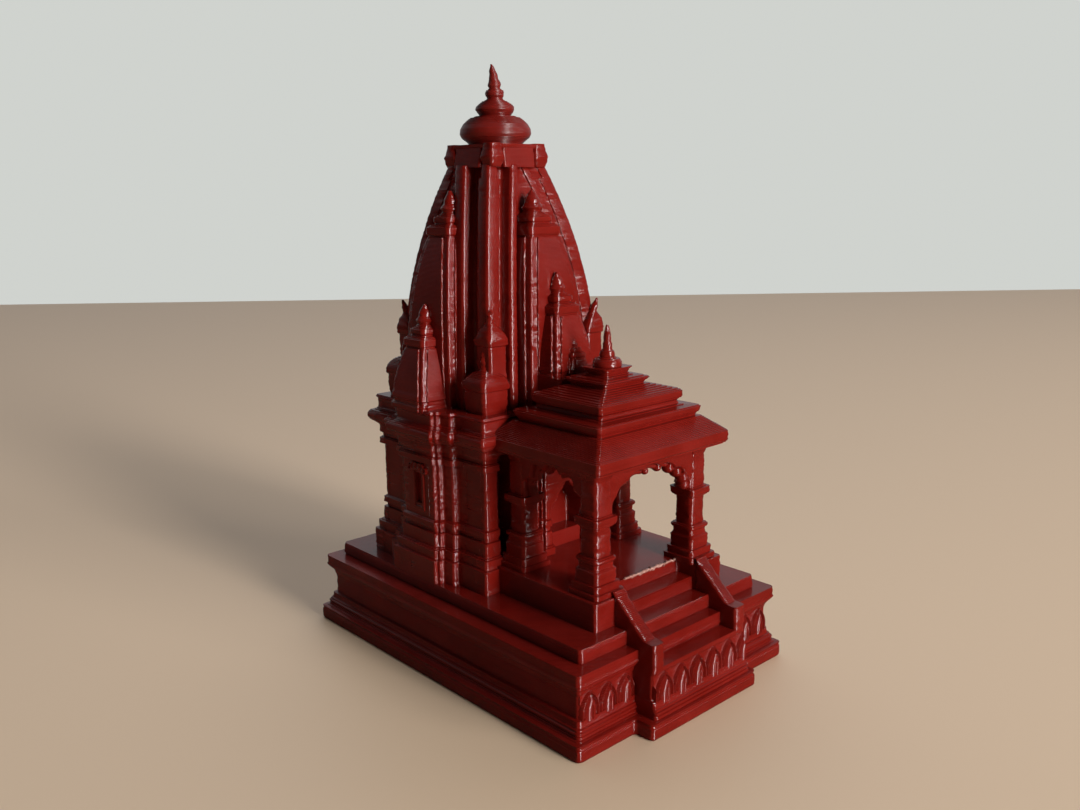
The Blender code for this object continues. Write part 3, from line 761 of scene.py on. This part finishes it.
SANCTUM_HALF_X, SANCTUM_HALF_Y = 16.15, 14.4
SANCTUM_TABLE = (  # height, how far the moulding stands out
    (14.6, 1.8), (18.7, 1.8), (18.9, 1.3), (20.4, 1.3), (20.6, 0.55), (22.9, 0.5),
    (23.1, 0.05), (23.7, 0.05), (23.9, 0.45), (24.9, 0.45), (25.1, 0.0), (34.7, 0.0),
    (34.95, 0.67), (36.0, 0.67), (36.2, 0.15), (36.8, 0.15), (37.1, 0.6), (38.4, 0.6),
    (38.8, 1.0), (39.4, 1.8), (39.8, 2.05), (40.5, 2.1), (41.0, 1.8), (41.3, 0.9),
    (41.7, 0.6), (43.2, 0.6), (43.5, 0.9), (43.9, 0.7))
SIDE_STEPS = ((7.3, 1.15), (4.85, 2.1), (4.25, 2.8))  # half width, how far it stands out
FRONT_STEPS = ((7.3, 1.15), (5.6, 1.9), (5.3, 2.5))
HAIR = 0.01  # depth that keeps the corners of a notch where there is none
RECESS = (15.4, 37.4)  # heights of the dark gap beside the porch
RECESS_OUTER, RECESS_INNER, RECESS_DEPTH = 13.3, 9.6, 4.6
DOORWAY = (19.0, 30.8)
DOORWAY_TABLE = ((26.4, 4.0), (30.8, 0.15))
DOORWAY_BACK = -12.5  # from the sanctum's middle
SLOT = (27.4, 32.6)  # heights of the narrow slot on the other faces
SLOT_HALF, SLOT_DEPTH = 0.75, 0.8
NICHE_INNER, NICHE_OUTER = 0.95, 1.65  # half widths of the frame round the slot
NICHE_OPENING, NICHE_ENDS = (26.9, 33.1), (26.2, 33.8)
CREST_CURLS = ((0.0, 34.0, 0.85), (1.15, 33.75, 0.75), (2.1, 33.3, 0.6))
FRAME_OUT, CREST_OUT, CREST_HOLLOW, PANEL_OUT = 0.22, 0.34, 0.2, 0.03
NICHE_PITCH = 0.16


def niche_relief(across, z):
    """Frame round the narrow slot, and a curled crest over it."""
    x = abs(across)
    if x < SLOT_HALF and SLOT[0] < z < SLOT[1]:
        return -0.5
    beside = NICHE_INNER < x < NICHE_OUTER
    over = x < NICHE_OUTER and not NICHE_OPENING[0] < z < NICHE_OPENING[1]
    border = FRAME_OUT * (beside or over) * (NICHE_ENDS[0] < z < NICHE_ENDS[1])
    crest = 0.0
    for spot, up, size in CREST_CURLS:
        off = ((x - spot) ** 2 + (z - up) ** 2) ** 0.5
        if off < size:
            crest = max(crest, CREST_OUT - CREST_HOLLOW * (off < 0.5 * size))
    return max(border, crest) + PANEL_OUT


def recess(turn, z):
    """Depth of the dark gap beside the porch, on the front alone."""
    return RECESS_DEPTH if turn == 0 and RECESS[0] < z < RECESS[1] else 2 * HAIR


def notch(turn, z, face):
    """Half width and back of the doorway (front) or the narrow slot (other faces)."""
    if turn == 0:
        if DOORWAY[0] < z < DOORWAY[1]:
            return at_height(DOORWAY_TABLE, z), DOORWAY_BACK
        return 0.6, face + HAIR
    return SLOT_HALF, face + (SLOT_DEPTH if SLOT[0] < z < SLOT[1] else HAIR)


def sanctum_plan(z):
    """Plan whose four faces step out towards their middle, where a notch is cut."""
    out = at_height(SANCTUM_TABLE, z)
    points = []
    for turn, steps in enumerate((FRONT_STEPS, SIDE_STEPS, SIDE_STEPS, SIDE_STEPS)):
        across, edge = SANCTUM_HALF_X, SANCTUM_HALF_Y
        if turn % 2:
            across, edge = edge, across
        across, edge = across + out, edge + out
        deep = -edge + recess(turn, z)
        left = [(-across, -edge), (-RECESS_OUTER, -edge), (-RECESS_OUTER, deep),
                (-RECESS_INNER, deep), (-RECESS_INNER, -edge)]
        level = 0.0
        for half, step in steps:
            left += [(-half - out, -edge - level), (-half - out, -edge - step)]
            level = step
        half, deep = notch(turn, z, -edge - level)
        left += [(-half, -edge - level), (-half, deep)]
        side = left + [(-x, y) for x, y in reversed(left[1:])]
        points += quarter_turned(side, turn, (0.0, SANCTUM_Y))
    return soften(points, ROUNDING)


def build_sanctum(red):
    for name, bottom, top in (("base", 14.6, 25.0), ("wall", 25.0, 34.8),
                              ("cornice", 34.8, 43.9)):
        printed("sanctum_%s_print" % name, sanctum_plan, bottom, top, red,
                ("sanctum_" + name,), SEAM_SHRINE)
    reach = SANCTUM_HALF_X + SIDE_STEPS[-1][1]
    back = SANCTUM_Y + SANCTUM_HALF_Y + SIDE_STEPS[-1][1]
    places = (lambda a, z, t: (-reach - t, SANCTUM_Y - a, z),
              lambda a, z, t: (reach + t, SANCTUM_Y + a, z),
              lambda a, z, t: (-a, back + t, z))
    niches = [carved_panel((-3.0, 3.0), (25.3, 34.6), niche_relief, place, NICHE_PITCH)
              for place in places]
    from_parts("sanctum_niches_print", niches, red)
    step = blocks(((19.0, 3.9, 1.65, 0.15), (21.9, 3.9, 1.65, 0.15)), (0.0, -3.35), 3)
    printed("door_step_print", step, 19.0, 21.9, red, ("door_step",))


# ---------------------------------------------------------------- tower

# width and depth of a groove, where the rib beside it stands and how wide that rib is
DEEP_GROOVE = (1.25, 1.5, -0.9, 1.7)
WIDE_GROOVE = (2.2, 1.5, -1.0, 2.6)
SHALLOW_GROOVE = (1.3, 0.25, 0.05, 1.4)
GROOVES = {(0, 1): SHALLOW_GROOVE, (3, -1): SHALLOW_GROOVE, (3, 1): WIDE_GROOVE}
GROOVE_FROM = 2.9  # where a groove starts, in from the tower's corner
FIELD_IN = 0.4  # how far the middle of a face lies in
PIER_TABLE = ((43.0, 3.0), (60.0, 2.9), (81.2, 2.85), (81.3, 2.1), (83.0, 2.1))
TOWER_FOOT, TOWER_RISE = 43.9, 39.3
TOWER_WIDE, TOWER_NARROWING, TOWER_BEND = 12.4, 6.4, 2.25
TOWER_STRETCH = 0.4  # added to its half width and taken off its half depth


def tower_half(z):
    part = max(0.0, (z - TOWER_FOOT) / TOWER_RISE)
    return TOWER_WIDE - TOWER_NARROWING * part ** TOWER_BEND


def tower_plan(z):
    """Piers at the corners, and on each face two grooves, two ribs and a flat field."""
    half = tower_half(z)
    points = []
    for turn in range(4):
        stretch = TOWER_STRETCH if turn % 2 == 0 else -TOWER_STRETCH
        corner, edge = half + stretch, -(half - stretch)
        pier = corner - at_height(PIER_TABLE, z)
        sides = []
        for end in (-1, 1):
            wide, groove, stand, rib_width = GROOVES.get((turn, end), DEEP_GROOVE)
            rib = corner - GROOVE_FROM - wide
            flat = rib - rib_width
            sides.append([(end * x, y) for x, y in (
                (pier, edge), (pier, edge + groove), (rib, edge + groove),
                (rib, edge + stand), (flat, edge + stand), (flat, edge + FIELD_IN))])
        side = [(-corner, edge)] + sides[0] + sides[1][::-1]
        points += quarter_turned(side, turn, (0.0, TOWER_Y))
    return soften(points, ROUNDING_TOWER)


COLLAR_TABLE = ((83.0, 5.5, 0.0), (86.0, 5.5, 0.0), (86.15, 6.0, 0.0), (86.8, 6.0, 0.0))
COLLAR_ACROSS = ((83.0, 3.5, 6.3, 0.4), (86.2, 3.5, 5.95, 0.4))
COLLAR_ALONG = ((83.0, 6.7, 3.5, 0.4), (86.2, 5.95, 3.5, 0.4))
COLLAR_CORNER = ((83.1, 1.2, 0.0), (83.5, 1.35, 0.0), (84.7, 1.6, 0.0), (86.2, 1.2, 0.0),
                 (86.9, 1.15, 0.0))
COLLAR_CORNER_AT = 4.87
DISC_TABLE = (  # height, radius
    (86.6, 4.3), (87.0, 4.6), (87.3, 4.9), (88.0, 5.8), (88.6, 6.1), (89.4, 6.0),
    (90.2, 5.55), (90.8, 4.9), (91.1, 4.5), (91.35, 4.1), (91.5, 2.6))
FINIAL_TABLE = (  # height, radius
    (91.2, 2.6), (91.6, 2.6), (92.1, 3.0), (92.6, 3.3), (93.1, 3.25), (93.5, 2.8),
    (93.9, 2.2), (94.2, 1.5), (94.5, 1.3), (94.9, 1.55), (95.4, 1.6), (95.7, 1.5),
    (96.0, 1.0), (96.2, 0.95), (96.6, 1.15), (97.0, 1.05), (97.6, 0.8), (98.2, 0.72),
    (98.8, 0.6), (99.4, 0.4), (100.0, 0.14))


def finial_lean(z):
    """The tip bends a little to the left as the camera sees it, and wavers."""
    part = max(0.0, z - 96.5) / 3.5
    return -0.35 * part ** 1.6 + 0.05 * sin(z * 5), 0.3 * part ** 1.6


def build_tower(red, turned):
    centre = (0.0, TOWER_Y)
    printed("tower_print", tower_plan, 43.5, 83.4, red, ("tower_body",), SEAM_TOWER)
    stacks = [(squares(COLLAR_TABLE, centre, 3), 83.0, 86.8),
              (blocks(COLLAR_ACROSS, centre, 3), 83.0, 86.2),
              (blocks(COLLAR_ALONG, centre, 3), 83.0, 86.2)]
    for x in (-COLLAR_CORNER_AT, COLLAR_CORNER_AT):
        for y in (-COLLAR_CORNER_AT, COLLAR_CORNER_AT):
            stacks.append((squares(COLLAR_CORNER, (x, TOWER_Y + y), 3), 83.1, 86.9))
    printed_group("tower_collar_print", stacks, red, ("tower_neck",))
    printed("tower_disc_print", circles(DISC_TABLE, centre, 96), 86.6, 91.5, turned,
            ("tower_disc",), SEAM_TURNED)
    printed("tower_finial_print", circles(FINIAL_TABLE, centre, 56, finial_lean), 91.2, 100.0,
            turned, ("tower_finial",), SEAM_TURNED)


LEDGE = 0.3  # how far a half tower's faces stand out between their strips
BODY_ROWS = 24
MOULD_TABLE = ((0.0, 0.15), (0.3, 0.15), (0.4, -0.15), (0.6, -0.15), (0.7, 0.1), (1.0, 0.0))
CAP_TABLE = (  # parts: of the cap's height, of its width, of it that is round
    (0.0, 0.93, 0.06), (0.05, 0.93, 0.06), (0.07, 1.02, 0.06), (0.22, 1.02, 0.1),
    (0.27, 0.88, 0.15), (0.3, 0.66, 0.2), (0.34, 0.74, 0.2), (0.44, 0.74, 0.25),
    (0.5, 0.52, 0.5), (0.55, 0.42, 0.8), (0.63, 0.54, 0.9), (0.72, 0.38, 1),
    (0.8, 0.36, 1), (0.9, 0.22, 1), (1.0, 0.08, 1))
UPPER = dict(half=6.35, slim=3.5, foot=43.6, neck=71.6, tip=79.3, bend=3.3, strip=1.3)
UPPER_SIDE = dict(UPPER, half=6.1, slim=3.15)
LOWER = dict(half=4.6, slim=2.8, foot=43.6, neck=53.6, tip=60.9, bend=1.9, strip=0.9,
             mould=2.6)
LOWER_FRONT = dict(half=4.6, slim=2.8, foot=49.2, neck=59.0, tip=66.0, bend=1.7, strip=0.9,
                   mould=1.6)
SMALL_FRONT = dict(half=2.2, slim=1.7, foot=49.2, neck=52.2, tip=55.6, bend=1.7, strip=0.5)
FACES = (("front", 0, -1), ("left", -1, 0), ("right", 1, 0), ("back", 0, 1))
SIDE_ASIDE = 1.2  # half towers at the sides stand this much further back


def stripped(rows, at, strip):
    """Square outline whose faces stand out between plain strips along the corners."""
    def plan(z):
        half = at_height(rows, z) - LEDGE / 2
        left = [(-half, -half), (strip - half, -half), (strip - half, -half - LEDGE)]
        side = left + [(-x, y) for x, y in left[:0:-1]]
        points = []
        for turn in range(4):
            points += quarter_turned(side, turn, at)
        return soften(points, 0.35)
    return plan


def half_tower(at, half, slim, foot, neck, tip, bend, strip, mould=0.0):
    """Stacks of a curved square body on mouldings, and of its cap, disc and finial."""
    body = []
    for i in range(BODY_ROWS + 1):
        part = i / BODY_ROWS
        body.append((foot + (neck - foot) * part, half + (slim - half) * part ** bend))
    if mould:
        base = [(foot + part * mould, half + out) for part, out in MOULD_TABLE]
        body = base + [row for row in body if row[0] > foot + mould]
    cap = [(neck + (tip - neck) * part, slim * width, round_part)
           for part, width, round_part in CAP_TABLE]
    return [(stripped(body, at, strip), foot, neck + 0.1), (squares(cap, at), neck, tip)]


def build_half_towers(red):
    for face, dx, dy in FACES:
        aside = SIDE_ASIDE * abs(dx)
        stacks = half_tower((9.2 * dx, TOWER_Y + 9.0 * dy + aside),
                            **(UPPER_SIDE if dx else UPPER))
        printed_group("shrine_upper_%s_print" % face, stacks, red, ("shrine_upper_" + face,),
                      SEAM_TOWER)
        if face != "front":
            stacks = half_tower((15.3 * dx, TOWER_Y + 16.2 * dy + aside), **LOWER)
            printed_group("shrine_lower_%s_print" % face, stacks, red,
                          ("shrine_lower_" + face,), SEAM_SHRINE)
    stacks = half_tower((0.0, TOWER_Y - 14.8), **LOWER_FRONT)
    stacks += half_tower((0.0, TOWER_Y - 18.4), **SMALL_FRONT)
    printed_group("shrine_lower_front_print", stacks, red, ("shrine_lower_front",))
    pedestal = blocks(((43.4, 4.9, 3.2, 0.3), (49.3, 4.9, 3.2, 0.3)), (0.0, -6.6), 3)
    printed("front_pedestal_print", pedestal, 43.4, 49.3, red, ("front_pedestal",))


TURRET_LOW = (  # height, half width, part that is round
    (43.6, 2.35, 0.1), (44.4, 2.6, 0.1), (46.0, 2.75, 0.1), (47.6, 2.7, 0.1),
    (47.75, 2.95, 0.1), (48.6, 3.0, 0.1), (49.2, 2.8, 0.15), (49.8, 2.4, 0.2),
    (50.3, 1.9, 0.25), (50.6, 1.3, 0.35), (50.8, 0.95, 0.6), (51.6, 0.75, 0.9),
    (52.2, 0.9, 1), (53.0, 0.7, 1), (54.2, 0.42, 1), (54.9, 0.15, 1))
TURRET_HIGH = (
    (43.6, 1.83, 0.05), (54.6, 1.83, 0.05), (54.75, 2.1, 0.05), (55.6, 2.15, 0.1),
    (56.3, 1.95, 0.15), (57.1, 1.6, 0.2), (57.8, 1.1, 0.35), (58.4, 0.7, 0.6),
    (59.0, 0.7, 1), (59.8, 0.42, 1), (60.6, 0.15, 1))


def turret_stacks(dx, dy):
    """A low turret outside and a high one inside, whose tip leans outwards."""
    def lean(z):
        part = np.interp(z, (55.8, 60.6), (0.0, 1.1))
        return dx * part, dy * part
    return [(squares(TURRET_LOW, (12.5 * dx, TOWER_Y + 10.95 * dy)), 43.6, 54.9),
            (squares(TURRET_HIGH, (11.13 * dx, TOWER_Y + 10.93 * dy), lean=lean), 43.6, 60.6)]


def build_turrets(red):
    for depth, dy in (("front", -1), ("back", 1)):
        for side, dx in (("left", -1), ("right", 1)):
            name = "turret_%s_%s" % (depth, side)
            printed_group(name + "_print", turret_stacks(dx, dy), red, (name,))


# ---------------------------------------------------------------- stage, in metres

CAMERA_AT = Vector((-0.11199, -0.12228, 0.07869))
CAMERA_YAW, CAMERA_PITCH, CAMERA_ROLL = radians(42.3177), radians(12.1258), -0.01438
FOCAL_PIXELS, PHOTO_PIXELS, SENSOR_MM = 985.436, 1080, 36.0

WALL_COLOUR = (0.63, 0.65, 0.62, 1.0)
SKY_COLOUR = (0.97, 0.98, 1.0, 1.0)
SKY_SIDE = (0.66, 0.70, 0.28)  # the soft light is strongest from here
SKY_FACING, SKY_LIGHT = (0.15, 0.95), (0.02, 1.25)
GLOSSY_LOSS = 0.68  # part of it that glossy rays do not see

FLOOR_COLOUR = (0.64, 0.475, 0.325, 1.0)
FLOOR_IN_GLOSS = (0.14, 0.10, 0.07, 1.0)  # what glossy rays see of the floor
FLOOR_AHEAD, FLOOR_ASIDE = Vector((0.673, 0.739, 0.0)), Vector((0.739, -0.673, 0.0))
FLOOR_CORNERS = ((-1.5, -1.8), (-1.5, 1.8), (0.6, 1.8), (0.6, -1.8))

LIGHT_COLOUR = (1.0, 0.985, 0.97)
LIGHTS = (  # name, place, aim, size, watts
    ("window", (0.30, -1.16, 0.56), (0.0, 0.0, 0.045), (0.48, 0.4), 7.5),
    ("strip", (0.04, -1.24, 0.31), (0.0, 0.0, 0.05), (0.24, 0.72), 22.0))


def build_camera():
    yaw, pitch, roll = CAMERA_YAW, CAMERA_PITCH, CAMERA_ROLL
    ahead = Vector((sin(yaw) * cos(pitch), cos(yaw) * cos(pitch), -sin(pitch)))
    right = Vector((cos(yaw), -sin(yaw), 0.0))
    up = right.cross(ahead)
    turned_right = right * cos(roll) + up * sin(roll)
    turned_up = up * cos(roll) - right * sin(roll)
    camera = bpy.data.cameras.new("camera")
    camera.sensor_width = SENSOR_MM
    camera.lens = FOCAL_PIXELS / PHOTO_PIXELS * SENSOR_MM
    camera.clip_start = 0.001
    obj = bpy.data.objects.new("camera", camera)
    basis = Matrix((turned_right, turned_up, -ahead)).transposed().to_4x4()
    obj.matrix_world = Matrix.Translation(CAMERA_AT) @ basis
    bpy.context.scene.collection.objects.link(obj)
    bpy.context.scene.camera = obj


def area_light(name, at, aim, size, power):
    light = bpy.data.lights.new(name, "AREA")
    light.shape = "RECTANGLE"
    light.size, light.size_y = size
    light.energy = power
    light.color = LIGHT_COLOUR
    obj = bpy.data.objects.new(name, light)
    obj.location = at
    obj.rotation_euler = (Vector(aim) - Vector(at)).to_track_quat("-Z", "Y").to_euler()
    bpy.context.scene.collection.objects.link(obj)


def build_world():
    """A pale wall to look at, and soft light that comes mostly from behind the model.

    Glossy rays see that light dimmed, which keeps a grey sheen off the red.
    """
    world = bpy.data.worlds.new("studio")
    world.use_nodes = True
    tree = world.node_tree
    wall = tree.nodes["Background"]
    wall.inputs[0].default_value = WALL_COLOUR
    wall.inputs[1].default_value = 1.0
    side = node(tree, "ShaderNodeVectorMath", operation="DOT_PRODUCT")
    side.inputs[1].default_value = Vector(SKY_SIDE).normalized()
    tree.links.new(node(tree, "ShaderNodeTexCoord").outputs["Generated"], side.inputs[0])
    bright = remap(tree, side.outputs["Value"], SKY_FACING, SKY_LIGHT)
    path = node(tree, "ShaderNodeLightPath")
    loss = calc(tree, "MULTIPLY", path.outputs["Is Glossy Ray"], GLOSSY_LOSS)
    sky = node(tree, "ShaderNodeBackground")
    sky.inputs[0].default_value = SKY_COLOUR
    tree.links.new(calc(tree, "MULTIPLY", bright, calc(tree, "SUBTRACT", 1.0, loss)),
                   sky.inputs[1])
    seen = switched(tree, path.outputs["Is Camera Ray"], sky.outputs[0], wall.outputs[0])
    tree.links.new(seen, tree.nodes["World Output"].inputs[0])
    bpy.context.scene.world = world
    bpy.context.scene.view_settings.view_transform = "Standard"


def floor_material():
    """Pale floor that glossy rays see darker, so that the red does not mirror it."""
    material = bpy.data.materials.new("pale_floor")
    material.use_nodes = True
    tree = material.node_tree
    shader = tree.nodes["Principled BSDF"]
    shader.inputs["Base Color"].default_value = FLOOR_COLOUR
    shader.inputs["Roughness"].default_value = 0.55
    calm = node(tree, "ShaderNodeBsdfDiffuse")
    calm.inputs["Color"].default_value = FLOOR_IN_GLOSS
    glossy = node(tree, "ShaderNodeLightPath").outputs["Is Glossy Ray"]
    seen = switched(tree, glossy, shader.outputs[0], calm.outputs[0])
    tree.links.new(seen, tree.nodes["Material Output"].inputs[0])
    return material


def build_stage():
    mesh = bpy.data.meshes.new("floor")
    bm = bmesh.new()
    bm.faces.new([bm.verts.new(FLOOR_AHEAD * a + FLOOR_ASIDE * b) for a, b in FLOOR_CORNERS])
    bm.to_mesh(mesh)
    bm.free()
    floor = bpy.data.objects.new("floor", mesh)
    mesh.materials.append(floor_material())
    bpy.context.scene.collection.objects.link(floor)
    build_world()
    for light in LIGHTS:
        area_light(*light)


def build_temple():
    layer_lines_group()
    red = plastic("red_print", RED_TONES, 0.15, 0.018)
    turned = plastic("red_print_turned", TURNED_TONES, 0.31, 0.034)
    low = plastic("red_print_low", RED_TONES, 0.13, 0.032)
    # pale plastic for the ripped step edge, its paleness partly painted sheen
    torn_and_sheen = plastic("torn_and_sheen_print", TORN_AND_SHEEN_TONES, 0.24, 0.06)
    build_plinth(low)
    build_petals(low)
    build_stair(low)
    build_porch_floor(low, torn_and_sheen)
    build_pillars(low)
    build_arches(low)
    build_roof(red)
    build_sanctum(red)
    build_tower(red, turned)
    build_half_towers(red)
    build_turrets(red)


build_camera()
build_stage()
build_temple()
